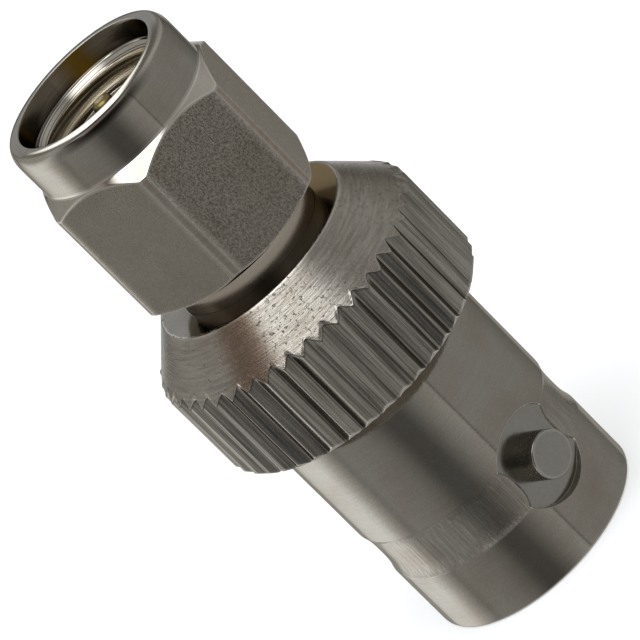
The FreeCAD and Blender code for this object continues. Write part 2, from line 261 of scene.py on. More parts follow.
def nickelMaterial(kind):
    # Colour: the base tone, with layers mixed over it one after the other. A layer's share
    # runs between two values while its pattern runs from low to high. The attribute of wear and
    # painted light above 0 is rubbed bright edges and painted highlights, below 0 painted shade
    # and a few lines of dirt. The other attribute is scratches along Z on turned metal, a film
    # of tarnish on a bore or rust on the cone, and a painted brown shade on one side of a face.
    # Height = marks * their weight + grain * its weight, and scratches or pits where they are.
    finish = dict(zip(finishKeys, finishes[kind]))
    material, tree = startMaterial(finish["name"])
    place = addNode(tree, "TexCoord").outputs["Object"]
    patterns = {"marks": (finish["stretch"], 3.0, 0.6),
                "patches": ((1 / plating["patch"],) * 3, 3.0, 0.55),
                "grain": ((plating["grain"],) * 3, 2.0, 0.6), **morePatterns.get(kind, {})}
    perMillimetre = 1 / millimetre
    fields = {}
    for key, (scale, detail, rough) in patterns.items():
        mapped = addNode(tree, "Mapping",
                         {"Scale": tuple(s * perMillimetre for s in scale)}, {"Vector": place})
        fields[key] = addNode(tree, "TexNoise",
                              {"Scale": 1.0, "Detail": detail, "Roughness": rough},
                              {"Vector": mapped.outputs[0]}).outputs["Fac"]
    for key in ("wearAndPaintedLight", "rubbedFilmsAndShade"):
        fields[key] = addNode(tree, "Attribute",
                              {"attribute_name": key}).outputs["Fac"]
    if kind == "coarse":
        fields["holes"] = addNode(tree, "MapRange",
                                  {"From Min": pitEdges[0], "From Max": pitEdges[1]},
                                  {"Value": fields["pits"]}).outputs[0]

    layers = [(finish["second"], "patches", 0.42, 0.72, 0.0, 0.6),
              ("dark", "marks", 0.35, 0.6, finish["shade"], 0.0),
              ("dark", "grain", 0.35, 0.65, plating["speckle"], 0.0),
              # rubbed bright edges and painted highlights, then painted shade and a few lines of
              # dirt
              ("bareEdgeAndHighlight", "wearAndPaintedLight", 0.0, 2.0, 0.0, 1.0),
              ("dirtAndPaintedShade", "wearAndPaintedLight", 0.0, -1.0, 0.0, plating["dirtAndShadeShare"])]
    colour = None
    for tone, pattern, low, high, lowShare, highShare in layers + moreLayers.get(kind, []):
        share = addNode(tree, "MapRange",
                        {"From Min": low, "From Max": high, "To Min": lowShare,
                         "To Max": highShare}, {"Value": fields[pattern]}).outputs[0]
        if pattern == "scratches":
            share = addNode(tree, "Math", {"operation": "MULTIPLY"},
                            {0: share, 1: fields["rubbedFilmsAndShade"]}).outputs[0]
        settings = {"data_type": "RGBA", 6: toLinear(tones[finish["base"]]),
                    7: toLinear(tones[tone])}
        colour = addNode(tree, "Mix", settings,
                         {0: share, **({} if colour is None else {6: colour})}).outputs[2]

    height = addNode(tree, "Math", {"operation": "MULTIPLY", 1: finish["marks"]},
                     {0: fields["marks"]}).outputs[0]
    height = addNode(tree, "Math", {"operation": "MULTIPLY_ADD", 1: finish["grain"]},
                     {0: fields["grain"], 2: height}).outputs[0]
    if kind == "turned":
        strength = addNode(tree, "Math", {"operation": "MULTIPLY", 1: scratchDepth},
                           {0: fields["rubbedFilmsAndShade"]}).outputs[0]
        height = addNode(tree, "Math", {"operation": "MULTIPLY_ADD"},
                         {0: fields["scratches"], 1: strength, 2: height}).outputs[0]
    if kind == "coarse":
        height = addNode(tree, "Math", {"operation": "MULTIPLY_ADD", 1: pitDepth},
                         {0: fields["holes"], 2: height}).outputs[0]
    roughness = addNode(tree, "MapRange",
                        {"From Min": 0.3, "From Max": 0.7,
                         "To Min": finish["roughness"] - plating["roughLow"],
                         "To Max": finish["roughness"] + plating["roughHigh"]},
                        {"Value": fields["grain"]})
    roughness = addNode(tree, "Math",
                        {"operation": "MULTIPLY_ADD", 1: plating["wornRoughness"]},
                        {0: fields["rubbedFilmsAndShade"], 2: roughness.outputs[0]})

    # Normal = normalize(N + lean * (0, 0, 1)), as the long flanks of the feed marks face up.
    # With n the normal's z, lean is the least of 0.6 - ease n, 0.85 - 1.343 n and
    # 0.97 + 1.1 n, at least 0, times the finish's share: it is gone on surfaces that face
    # 39 degrees up or 62 degrees down.
    normal = addNode(tree, "NewGeometry").outputs["Normal"]
    upward = addNode(tree, "VectorMath", {"operation": "DOT_PRODUCT", 1: (0, 0, 1)},
                     {0: normal}).outputs["Value"]
    lean = None
    for slope, level in ((-finish["ease"], plating["lean"]), plating["upLine"],
                         plating["downLine"]):
        line = addNode(tree, "Math", {"operation": "MULTIPLY_ADD", 1: slope, 2: level},
                       {0: upward}).outputs[0]
        lean = line if lean is None else addNode(
            tree, "Math", {"operation": "MINIMUM"}, {0: lean, 1: line}).outputs[0]
    lean = addNode(tree, "Math", {"operation": "MAXIMUM", 1: 0.0}, {0: lean})
    lean = addNode(tree, "Math", {"operation": "MULTIPLY", 1: finish["lean"]},
                   {0: lean.outputs[0]})
    tilt = addNode(tree, "CombineXYZ", {}, {"Z": lean.outputs[0]})
    leaning = addNode(tree, "VectorMath", {"operation": "ADD"},
                      {0: normal, 1: tilt.outputs[0]})
    leaned = addNode(tree, "VectorMath", {"operation": "NORMALIZE"},
                     {0: leaning.outputs[0]})
    bump = addNode(tree, "Bump",
                   {"Strength": finish["bump"], "Distance": plating["depth"] * millimetre},
                   {"Height": height, "Normal": leaned.outputs[0]})
    shader = addNode(tree, "BsdfPrincipled",
                     {"Metallic": 1.0, "Specular Tint": plating["grazing"]},
                     {"Base Color": colour, "Roughness": roughness.outputs[0],
                      "Normal": bump.outputs[0]})
    addNode(tree, "OutputMaterial", {}, {"Surface": shader.outputs[0]})
    return material


def plainMaterial(name, colour, second, grain, roughness, metallic, bumpStrength):
    # Colour = a mix of two tones by noise of this grain in mm, which also gives the roughness
    # 0.06 either way and a light bump
    material, tree = startMaterial(name)
    coordinates = addNode(tree, "TexCoord")
    noise = addNode(tree, "TexNoise", {"Scale": 1 / millimetre / grain, "Detail": 3.0},
                    {"Vector": coordinates.outputs["Object"]}).outputs["Fac"]
    tone = addNode(tree, "Mix",
                   {"data_type": "RGBA", 6: toLinear(colour), 7: toLinear(second)}, {0: noise})
    rough = addNode(tree, "MapRange",
                    {"To Min": roughness - 0.06, "To Max": roughness + 0.06}, {"Value": noise})
    bump = addNode(tree, "Bump", {"Strength": bumpStrength, "Distance": 0.01 * millimetre},
                   {"Height": noise})
    shader = addNode(tree, "BsdfPrincipled", {"Metallic": metallic},
                     {"Base Color": tone.outputs[2], "Roughness": rough.outputs[0],
                      "Normal": bump.outputs[0]})
    addNode(tree, "OutputMaterial", {}, {"Surface": shader.outputs[0]})
    return material


nickel = {kind: nickelMaterial(kind) for kind in finishes}
# yellow and clear on the socket, darker, browner and blurred on the pin
goldPlate = plainMaterial("gold plate, burnished", "#a88a46", "#8d6f30", 0.4, 0.25, 1.0, 0.2)
dullGold = plainMaterial("gold plate, dulled", "#6f6238", "#554a30", 0.15, 0.35, 1.0, 1.0)
# copper brown with a soft shine
springBronze = plainMaterial("phosphor bronze wire", "#b07a4c", "#8c5a35", 0.3, 0.35, 1.0, 0.2)
# waxy white, and the same painted dark brown at the plug's end, as painted shade deep inside the
# nut
ptfe = plainMaterial("white fluoropolymer, turned", "#e9e7df", "#dcd8cc", 0.5, 0.45, 0.0, 0.2)
shadedPtfe = plainMaterial("fluoropolymer, painted dark brown shade", "#6f6554", "#4c4333", 0.12,
                           0.45, 0.0, 0.8)
# dull brick red
siliconeRubber = plainMaterial("silicone rubber, moulded", "#8a3a26", "#6f2b1c", 0.2, 0.55,
                               0.0, 0.2)
print("materials made")


barrel = {
    "radius": 4.825, "length": 10.94, "mouthRounding": 0.16, "mouthFace": 4.62,
    "grooveDepth": 0.125, "grooveLow": 3.05, "grooveHigh": 5.3, "edgeSoftness": 0.014,
    "cavityRadius": 4.06, "cavityDepth": 8.4, "lead": 0.15,
    "studHeight": 4.15, "pocketRadius": 2.03, "pocketFloor": 4.46, "wall": 0.03,
    "patch": 2.9,              # half the side of the square of rows drawn into circles
    "holeRadius": 0.71, "holeFloor": 4.2, "holePatch": 1.4,
    # from the collar's seat over the web and down its bore, as (radius, z)
    "web": [(4.80, 10.94), (3.11, 10.94), (3.11, 10.4), (2.37, 10.4), (2.37, 8.42),
            (2.39, 8.4), (3.95, 8.4)],
    "columnStep": 0.55, "rowStep": 0.046, "innerStep": 0.22,       # degrees, mm, mm
    "creaseWidth": 0.012, "fade": 0.1,
    # wear and painted light: the lip is worn bright, the pocket's wall is lightened with painted
    # light, the creases and the groove's upper edge get painted shade, and its lower edge painted
    # glints
    "wear": {"lip": 0.3, "wall": 1.5, "crease": -0.6, "lowEdge": 0.6, "highEdge": -0.35},
}


def squareToCircle(u, v, circle, square):
    # Rings of equal max(|u|, |v|) become circles up to the circle's radius, and turn back into
    # squares towards the square's half side
    ring, far = np.maximum(abs(u), abs(v)), np.hypot(u, v) + 1e-12
    back = np.clip((ring - circle) / (square - circle), 0, 1)
    scale = np.where(ring < square, (1 - back) * ring / far + back, 1)
    scale = np.where(ring < 1e-6, 1, scale)
    return u * scale, v * scale, ring, back


def flatGrid(radius, across, heights, middle, half):
    # Each grid point's place from the stud's axis, u = r sin a and v = z - middle, and whether
    # it lies in the square that is drawn into circles
    u = radius * np.sin(across)[None] + 0 * heights[:, None]
    v = (heights - middle)[:, None] + 0 * u
    return u, v, (abs(u) < half) & (abs(v) < half)


def mergedStations(fixed, spacing, low, high):
    # Evenly spaced stations, without those that come close to a fixed one
    even = np.linspace(low, high, int(round((high - low) / spacing)) + 1)
    fixed = np.unique(np.round(fixed, 5))
    clear = np.abs(even[:, None] - fixed[None]).min(1) > spacing * 0.35
    return np.unique(np.concatenate([even[clear], fixed]))


def makeBarrel():
    # r(a, z) from the turned outline; inside a pocket x = min(floor, sqrt(r^2 - y^2)), on grid
    # lines drawn into circles around the stud, and the same around the stud's hole inside
    b = barrel
    ringLines = [b["pocketRadius"] + s
                 for s in (-0.09, -0.004 - b["wall"], -b["wall"], 0.002 - b["wall"], -0.002, 0,
                           0.008, 0.05)]
    holeLines = [b["holeRadius"] + s for s in (-0.06, -0.02, 0, 0.04)]
    columnsAt = [math.asin(r / b["radius"]) for r in ringLines]
    columnsAt += [math.asin(r / b["cavityRadius"]) for r in holeLines]
    edgeAngle = math.asin(b["patch"] / b["radius"])
    columnsAt = [s * a for a in columnsAt for s in (-1, 1)] + [-edgeAngle, edgeAngle]
    near = mergedStations(columnsAt, math.radians(b["columnStep"]), -edgeAngle, edgeAngle)
    far = np.linspace(edgeAngle, math.pi / 2, 33)[1:]
    half = np.concatenate([-far[::-1], near, far])[:-1]
    side = np.repeat([1.0, -1.0], len(half))
    local = np.concatenate([half, half])       # angle from the nearer stud's direction

    # outer rows, from the mouth's rounding up to the collar
    t = np.linspace(0, math.pi / 2, 6)
    mouth = np.stack([b["radius"] - b["mouthRounding"] * (1 - np.sin(t)),
                      b["mouthRounding"] * (1 - np.cos(t))], -1)
    soft = b["edgeSoftness"]
    rowsAt = [b["studHeight"] + s * r for r in ringLines for s in (-1, 1)]
    rowsAt += [b[k] + s for k in ("grooveLow", "grooveHigh")
               for s in (-0.03, -soft, 0, soft, 0.03)]
    low, high = b["studHeight"] - b["patch"], b["studHeight"] + b["patch"]
    z = mergedStations(rowsAt, b["rowStep"], low, high)
    z = np.concatenate([np.linspace(b["mouthRounding"], low, 9)[:-1], z,
                        np.linspace(high, b["length"], 17)[1:]])

    def turned(height):
        # r = radius - depth * (1 - |t|^3) inside the shallow groove, t from -1 to 1 across it;
        # the mean over a short span rounds its two edges
        middle = (b["grooveLow"] + b["grooveHigh"]) / 2
        reach = (b["grooveHigh"] - b["grooveLow"]) / 2
        return sum(b["radius"] - b["grooveDepth"]
                   * np.maximum(1 - np.abs((height + s - middle) / reach) ** 3, 0)
                   for s in (-soft, 0, soft)) / 3

    u, v, inPatch = flatGrid(b["radius"], local, z, b["studHeight"], b["patch"])
    warpedU, warpedV, ring, back = squareToCircle(u, v, b["pocketRadius"], b["patch"])
    height = np.where(inPatch, b["studHeight"] + warpedV, z[:, None])
    radius = turned(height)
    across = np.where(inPatch, warpedU * (1 + back * (radius / b["radius"] - 1)),
                      radius * np.sin(local)[None])
    free = np.sqrt(np.maximum(radius ** 2 - across ** 2, 0))
    # the pocket's wall rises over its last ring: floor + (surface - floor) * share
    share = np.clip((ring - b["pocketRadius"]) / b["wall"] + 1, 0, 1)
    deep = inPatch & (free > b["pocketFloor"])
    out = np.where(deep, b["pocketFloor"] + (free - b["pocketFloor"]) * share, free)
    outer = np.stack([side * out, side * across, height], -1)
    wall = deep & (share > 0) & (share < 1)
    # the floor of the pocket runs out into the groove along two creases, which get a thin line of
    # painted shade
    inside = inPatch & (ring < b["pocketRadius"] - b["wall"] / 2)
    crease = inside & (abs(free - b["pocketFloor"]) < b["creaseWidth"])
    onFloor = inside & (free > b["pocketFloor"] - b["creaseWidth"] / 3)
    # painted glints here and there along the groove's lower edge, and a painted dark line along
    # its upper edge
    random = np.random.default_rng(5)
    glint = np.clip(np.convolve(random.normal(0, 1, len(local)), np.hanning(5), "same"), 0, 2)
    lowEdge = (abs(height - b["grooveLow"]) < b["creaseWidth"]) & ~inPatch
    highEdge = (abs(height - b["grooveHigh"]) < b["creaseWidth"]) & ~inPatch
    wear = b["wear"]
    # scratches fill the groove and fade out at its two edges
    fade = (np.clip((height - b["grooveLow"]) / b["fade"], 0, 1)
            * np.clip((b["grooveHigh"] - height) / b["fade"], 0, 1))

    # inner rows, from the web's floor down to the mouth, with the ends of the studs' holes
    patch = b["holePatch"]
    holeRows = [b["studHeight"] + s * r for r in holeLines + [patch] for s in (-1, 1)]
    z2 = mergedStations(holeRows + [b["lead"], b["cavityDepth"]], b["innerStep"], b["lead"],
                        b["cavityDepth"])[::-1]
    u2, v2, inHole = flatGrid(b["cavityRadius"], local, z2, b["studHeight"], patch)
    wu, wv, ring2, _ = squareToCircle(u2, v2, b["holeRadius"], patch)
    height2 = np.where(inHole, b["studHeight"] + wv, z2[:, None])
    across2 = np.where(inHole, wu, u2)
    out2 = np.sqrt(np.maximum(b["cavityRadius"] ** 2 - across2 ** 2, 0))
    out2 = np.where(inHole & (ring2 < b["holeRadius"] - 0.01), b["holeFloor"], out2)
    out2 = np.where(abs(np.cos(local))[None] < 1e-9, 0.0, out2)
    inner = np.stack([side * out2, side * across2, height2], -1)

    def rings(rz):
        rz = np.asarray(rz, float)
        return np.stack([rz[:, :1] * (side * np.cos(local))[None],
                         rz[:, :1] * (side * np.sin(local))[None],
                         rz[:, 1:] + 0 * local[None]], -1)

    lip = b["cavityRadius"] + b["lead"]
    bottom = rings([(lip, 0.0), (lip + 0.02, 0.0), (b["mouthFace"], 0.0)])
    top = rings(b["web"])
    last = rings([(b["cavityRadius"] + 0.01, b["lead"] - 0.01)])
    points = np.concatenate([bottom, rings(mouth)[:-1], outer, top, inner, last])
    first = len(bottom) + len(mouth) - 1
    outerRows = slice(first, first + len(z))
    wearAndPaintedLight, rubbedFilmsAndShade = np.zeros(points.shape[:2]), np.zeros(points.shape[:2])
    wearAndPaintedLight[len(bottom):first] = wearAndPaintedLight[-1] = wear["lip"]
    # painted light on the pocket's wall, painted shade along the creases and the groove's upper
    # edge, painted glints along its lower edge
    wearAndPaintedLight[outerRows] = (wear["wall"] * wall + wear["crease"] * crease
                           + wear["lowEdge"] * lowEdge * glint[None]
                           + wear["highEdge"] * highEdge)
    rubbedFilmsAndShade[outerRows] = fade * ~onFloor
    # 0 turned, 1 the pocket's floor, 2 bores, 3 the pocket's wall, with each cell that has a
    # corner on it
    kinds = np.zeros(points.shape[:2], int)
    kinds[outerRows] = onFloor
    wall = wall | np.roll(wall, -1, 0)
    kinds[outerRows][wall | np.roll(wall, -1, 1)] = 3
    kinds[first + len(z) + len(top):] = 2
    makeSurface("jack_barrel_turned", points, "adapter_body", "main_body",
                [nickel["turned"], nickel["spot"], nickel["bore"], nickel["land"]],
                wearAndPaintedLight=wearAndPaintedLight, rubbedFilmsAndShade=rubbedFilmsAndShade, kinds=kinds)


makeBarrel()


collar = {
    "bottom": 10.94, "foot": 14.97, "top": 17.04, "radius": 6.3, "chamfer": 0.24,
    "coneRadius": 4.5, "seatRadius": 3.11, "boreRadius": 3.31, "boreFloor": 14.2,
    "grooves": 44, "depth": 0.29, "width": 0.72, "firstAngle": 3.1, "columns": 28,
    "tipRounding": 0.09, "valleyRounding": 0.05,
    "offCentre": 0.035, "rolled": (-0.1, 0.06),       # how far each groove is off
    "rounding": [0.01, 0.04, 0.03, 0.03, 0.02, 0.05, 0.02, 0.01, 0.01],
    "coneHold": 0.1,                                  # mm of cone that follows the burr
    "burrs": [(5, 0.012), (17, 0.034)],               # columns that each spans, mm
    # painted highlights on the edges and tips, and painted shade under the scalloped edge and in
    # the valleys
    "edgeShine": 0.35, "tipShine": 0.7, "scallopShade": 0.55, "valleyShade": 0.45,
    # parts of the way round, as (middle, width) in degrees
    # where the painted valley shade is fainter, and where teeth carry a painted highlight streak
    "fainterShade": (36, 38), "fainterShadeShare": 0.75, "paintedStreaks": (-92, 14), "paintedStreakShine": 2.4,
    "streakAt": -0.42, "streakWidth": 0.024,          # in pitches from the groove
    # where the face above the cone has a painted brown shade, and where the cone is rusted
    "browned": (62, 50), "rust": (-61, 10.5), "rustShare": 0.85,
}


def makeCollar():
    # R(a) = radius - depth * h(t), with t the angle from the nearest groove in half widths and
    # h the rounded V of that groove; it is cut by the chamfer below and the cone above, so the
    # cone starts where cone(z) = R(a), which gives the scalloped edge
    c = collar
    pitch = fullTurn / c["grooves"]
    columns = c["grooves"] * c["columns"]
    angles = math.radians(c["firstAngle"]) + np.arange(columns) * fullTurn / columns
    off = (np.arange(columns) / c["columns"] + 0.5) % 1 - 0.5
    # each groove was rolled a little differently
    random = np.random.default_rng(11)
    groove = (np.arange(columns) / c["columns"] + 0.5).astype(int) % c["grooves"]
    off = off + (random.uniform(-c["offCentre"], c["offCentre"], c["grooves"])[groove]
                 * (1 - 4 * off ** 2))
    rolled = 1 + random.uniform(*c["rolled"], c["grooves"])[groove]
    t = np.abs(off) * pitch * c["radius"] / (c["width"] / 2)
    h = 1 - (np.sqrt(t ** 2 + c["valleyRounding"]) - math.sqrt(c["valleyRounding"]))
    h = (h + np.sqrt(h ** 2 + c["tipRounding"] ** 2)) / 2
    knurl = c["radius"] - c["depth"] * h * rolled
    slope = (c["top"] - c["foot"]) / (c["radius"] - c["coneRadius"])
    rough = np.tile(random.normal(0, 1, columns), 3)
    coneStart = c["top"] - (knurl - c["coneRadius"]) * slope
    for span, size in c["burrs"]:
        burr = np.convolve(rough, np.hanning(span) / span ** 0.5, "same")
        coneStart = coneStart + size * burr[columns:2 * columns]
    low = c["radius"] - c["chamfer"]
    rise = np.maximum(knurl - low, 0.0)
    held = knurl - c["coneHold"]
    corners = [
        (c["seatRadius"], c["bottom"]),
        (np.minimum(low, knurl), c["bottom"]),
        (knurl, c["bottom"] + rise + 0.01),
        (knurl, coneStart),
        (held, c["top"] - (held - c["coneRadius"]) * slope),
        (c["coneRadius"], c["top"]),
        (c["boreRadius"], c["top"]),
        (c["boreRadius"], c["boreFloor"]),
        (c["seatRadius"], c["boreFloor"]),
    ]
    outline = np.stack([np.stack([r + 0 * knurl, z + 0 * knurl], -1) for r, z in corners])
    rz, edge = roundCorners(outline, c["rounding"])
    count = len(rz) // len(corners)
    # painted highlights and wear on the tips and edges, painted shade under the scalloped edge
    # and along the valleys, which is fainter over a part of the way round
    edge[4 * count:5 * count] = 0
    edge *= c["edgeShine"]
    edge[count:3 * count] *= c["tipShine"] / c["edgeShine"]
    shadeLevel = 1 - c["fainterShadeShare"] * around(angles, *c["fainterShade"])
    edge[3 * count + 1:3 * count + 3] = -c["scallopShade"] * shadeLevel
    paintedValleyShade = np.clip(h - 0.5, 0, 1) * c["valleyShade"] * shadeLevel
    edge[2 * count + 2:3 * count + 2] -= paintedValleyShade[None]
    # a painted highlight streak along one edge of a few teeth
    paintedStreak = around(angles, *c["paintedStreaks"]) * np.clip(
        1.6 - np.abs(off - c["streakAt"]) / c["streakWidth"], 0, 1)
    edge[2 * count + 2:3 * count + 1] += c["paintedStreakShine"] * paintedStreak[None]
    # rows of 0 plain turning, 1 knurling, 2 the cone and 3 the face above it
    coneEnd = 5 * count + count // 2 + 2
    kinds = np.zeros(len(rz), int)
    kinds[2 * count:3 * count + 2] = 1
    kinds[3 * count + 2:coneEnd] = 2
    kinds[coneEnd:6 * count + 3] = 3
    rustAndBrownShade = np.zeros(rz.shape[:2])
    # a painted brown shade on one side of the face above the cone, and rust on the cone
    rustAndBrownShade[5 * count:7 * count] = around(angles, *c["browned"])
    rustAndBrownShade[3 * count:coneEnd] = around(angles, *c["rust"]) * c["rustShare"]
    makeSurface("collar_knurled", spinPoints(rz, angles), "adapter_body", "main_body",
                [nickel["turned"], nickel["drawn"], nickel["coarse"], nickel["faced"]],
                wearAndPaintedLight=edge, rubbedFilmsAndShade=rustAndBrownShade, kinds=kinds)


makeCollar()


def turnedOutline(outline, rounding, columns, closed):
    # The rounded outline repeated over columns of angles. An open outline starts and ends on
    # the axis, and keeps its two ends as they are.
    angles = np.arange(columns) * fullTurn / columns
    corners = np.repeat(np.array(outline, float)[:, None], columns, 1)
    rz, edge = roundCorners(corners, rounding)
    if not closed:
        perCorner = len(rz) // len(corners)
        kept = slice(perCorner - 1, len(rz) - perCorner + 1)
        rz, edge = rz[kept], edge[kept]
        rz[0], rz[-1] = corners[0], corners[-1]
    return rz, edge, angles


def lathe(name, outline, rounding, columns, node, material, closed=True):
    # The rounded outline turned about Z
    rz, edge, angles = turnedOutline(outline, rounding, columns, closed)
    makeSurface(name, spinPoints(rz, angles), "adapter_body", node, [material],
                along=closed, wearAndPaintedLight=edge)


# Outlines as (radius, z), with the rounding of each corner
shell = {
    # seat in the body, neck with the ring's groove, shoulder, sleeve, and down inside
    "outline": [(2.61, 14.2), (3.3, 14.2), (3.3, 19.64), (2.8, 19.64), (2.8, 20.44),
                (3.3, 20.44), (3.3, 22.0), (2.3, 22.0), (2.3, 24.75), (2.06, 24.75),
                (2.06, 15.5), (2.61, 15.5)],
    "rounding": [0.02, 0.02, 0.03, 0.03, 0.03, 0.03, 0.1, 0.03, 0.1, 0.03, 0.02, 0.02],
}
lathe("plug_neck_and_sleeve", shell["outline"], shell["rounding"], 192, "plug_shell",
      nickel["neck"])

gasket = {"outline": [(2.33, 22.0), (3.15, 22.0), (3.15, 22.75), (2.33, 22.75)],
          "rounding": [0.06] * 4}
lathe("nut_gasket", gasket["outline"], gasket["rounding"], 128, "gasket",
      siliconeRubber)

plugBead = {
    # a flange in the body's seat and a long bead inside the sleeve
    "outline": [(0.645, 14.2), (2.6, 14.2), (2.6, 15.5), (2.05, 15.5), (2.05, 24.75),
                (0.645, 24.75)],
    "rounding": [0.04, 0.05, 0.05, 0.05, 0.05, 0.04],
}
lathe("plug_bead", plugBead["outline"], plugBead["rounding"], 128, "plug_insulator",
      shadedPtfe)

jackBead = {
    # the post around the socket, a flange under the web's seat, and the socket's bore
    "outline": [(1.16, 3.2), (2.36, 3.2), (2.36, 10.4), (3.1, 10.4), (3.1, 12.8),
                (1.04, 12.8), (1.04, 7.5), (1.16, 7.5)],
    "rounding": [0.06, 0.1, 0.03, 0.05, 0.05, 0.04, 0.03, 0.03],
}
lathe("jack_bead", jackBead["outline"], jackBead["rounding"], 128, "jack_insulator",
      ptfe)

pin = {
    "tail": [(0.0, 12.4), (0.41, 12.4), (0.41, 14.2)],
    "body": [(0.635, 14.2), (0.635, 24.75)],
    "tipRadius": 0.46, "shoulder": 24.75, "tip": 25.7, "tipRounding": 0.3,
    "domeAngles": [90, 70, 50, 30, 12],
    "rounding": [0.0, 0.03, 0.02, 0.02, 0.04, 0.02, 0.03, 0.03, 0.03, 0.03, 0.03, 0.0],
}
# tip: r = tip radius - R (1 - sin a), z = tip - R (1 - cos a)
dome = [(pin["tipRadius"] - pin["tipRounding"] * (1 - math.sin(a)),
         pin["tip"] - pin["tipRounding"] * (1 - math.cos(a)))
        for a in np.radians(pin["domeAngles"])]
lathe("plug_pin", [*pin["tail"], *pin["body"], (pin["tipRadius"], pin["shoulder"]), *dome,
                   (0.0, pin["tip"])],
      pin["rounding"], 96, "pin_contact", dullGold, closed=False)


stud = {
    "height": barrel["studHeight"], "radius": 0.98, "columns": 96, "wear": 0.2,
    # tenon, shoulder on the pocket's floor, side and bevelled end, as (radius, distance out)
    "outline": [(0.0, 4.06), (0.7, 4.06), (0.7, 4.46), (0.98, 4.46), (0.98, 5.45),
                (0.94, 5.49), (0.0, 5.49)],
    "rounding": [0.0, 0.02, 0.01, 0.01, 0.03, 0.03, 0.0],
}


def makeStud(name, side, node):
    # The outline turned about the stud's own axis along X:
    # point = (side * out, side * r cos a, height + r sin a)
    s = stud
    rz, edge, angles = turnedOutline(s["outline"], s["rounding"], s["columns"], False)
    p = spinPoints(rz, angles)
    points = np.stack([side * p[..., 2], side * p[..., 0], p[..., 1] + s["height"]], -1)
    onSide = rz[:, 0, 0] > s["radius"] - 0.01
    makeSurface(name, points, "adapter_body", node,
                [nickel["spot"], nickel["side"]], along=False, wearAndPaintedLight=edge * s["wear"],
                kinds=(onSide[:-1] & onSide[1:]).astype(int))


makeStud("stud_near", 1.0, "bayonet_stud_a")
makeStud("stud_far", -1.0, "bayonet_stud_b")


nut = {
    "back": 18.15, "front": 26.6, "acrossFlats": 8.1, "cornerRadius": 4.58,
    "backRadius": 4.0, "backAngle": 30.0, "noseStart": 24.5, "noseRadius": 3.95,
    "noseRounding": 0.55, "crown": 0.055, "crownRadius": 3.698, "faceRadius": 3.66,
    "turn": -41.0, "cornerRounding": 0.035, "landSteps": 5, "flatSteps": 25,
    "neckBore": 3.375, "mouthBore": 3.25, "mouthFloor": 25.62,
    "minorRadius": 2.83, "majorRadius": 3.2, "pitch": 0.70556, "threadLead": 0.27,
    "threadStep": 0.02, "reliefRadius": 3.30, "reliefTop": 22.90,
    "ringFloor": 3.65, "ringBottom": 19.64, "ringTop": 20.44,
    "rounding": [0.02, 0.02, 0.03, 0.03, 0.04, 0.0], "cornerDrop": 0.008,
    "wear": 0.6, "sideWear": 0.6,          # of the edges, and next to a land's edge
    "roundingSteps": [0, 10, 20, 30, 40, 50, 58, 65, 71, 77],        # degrees
    # (middle, width) in degrees, and how much of each shows: tarnish in the bore, and a painted
    # dark band of shade on the rim's rounding
    "tarnish": (143.0, 9.0), "tarnishShare": 0.75, "rimShade": (-34.0, 30.0),
    "rimShadeShares": [0, 0, 0.4, 0.8, 1, 1, 1, 1, 1, 0.9, 0.2],       # up the rim's rounding
    # dark lines where the tool stepped in: row from the thread's first turn, and how dark
    "toolLines": [(-2, -1.0), (-1, -0.6), (3, -0.8), (9, -0.9), (12, -1.0)],
}


def hexagonSection():
    # Flats at half the width, r = half / cos(angle from the flat's middle), cut off by the
    # land's circle near the corners; the two edges of each land are rounded. Gives the radius,
    # angle and edge wear of each column, and whether it lies on a land or on an odd flat.
    n = nut
    halfFlat = n["acrossFlats"] / 2
    reach = math.acos(halfFlat / n["cornerRadius"])
    land = math.pi / 6 - reach
    turnBy = n["cornerRounding"] / n["cornerRadius"]
    flatSteps = np.linspace(-reach + 1.6 * turnBy, reach - 1.6 * turnBy, n["flatSteps"])
    landSteps = np.linspace(-land + turnBy, land - turnBy, n["landSteps"])
    ends = np.zeros(n["flatSteps"])
    ends[[0, -1]] = n["sideWear"]
    # one side of the hexagon: land, its edge, flat, and the next land's edge
    angles = np.concatenate([landSteps, [land], math.pi / 6 + flatSteps, [math.pi / 6 + reach]])
    edgeRadius = n["cornerRadius"] - n["cornerDrop"]
    radii = np.concatenate([np.full(n["landSteps"], n["cornerRadius"]), [edgeRadius],
                            halfFlat / np.cos(flatSteps), [edgeRadius]])
    edges = np.concatenate([[n["sideWear"], 0, 0, 0, n["sideWear"]], [1.0], ends, [1.0]])
    corner = math.radians(n["turn"]) + np.arange(6) * math.pi / 3
    columns = len(angles)
    onLand = np.isin(np.arange(columns), (columns - 1, *range(n["landSteps"])))
    return (np.tile(radii, 6), (corner[:, None] + angles[None]).ravel(), np.tile(edges, 6),
            np.tile(onLand, 6), np.arange(6 * columns) // columns % 2 == 1)


def threadRadius(angle, z):
    # Inner V thread: r = minor + depth * w, where w runs from 0 on the crest to 1 in the root
    # along the flanks of each turn, and the turns climb by the pitch for each full angle
    n = nut
    phase = (z / n["pitch"] - angle / fullTurn) % 1.0
    w = np.clip((np.abs(phase - 0.5) * 2 - 0.16) / 0.74, 0, 1)
    return n["minorRadius"] + (n["majorRadius"] - n["minorRadius"]) * w


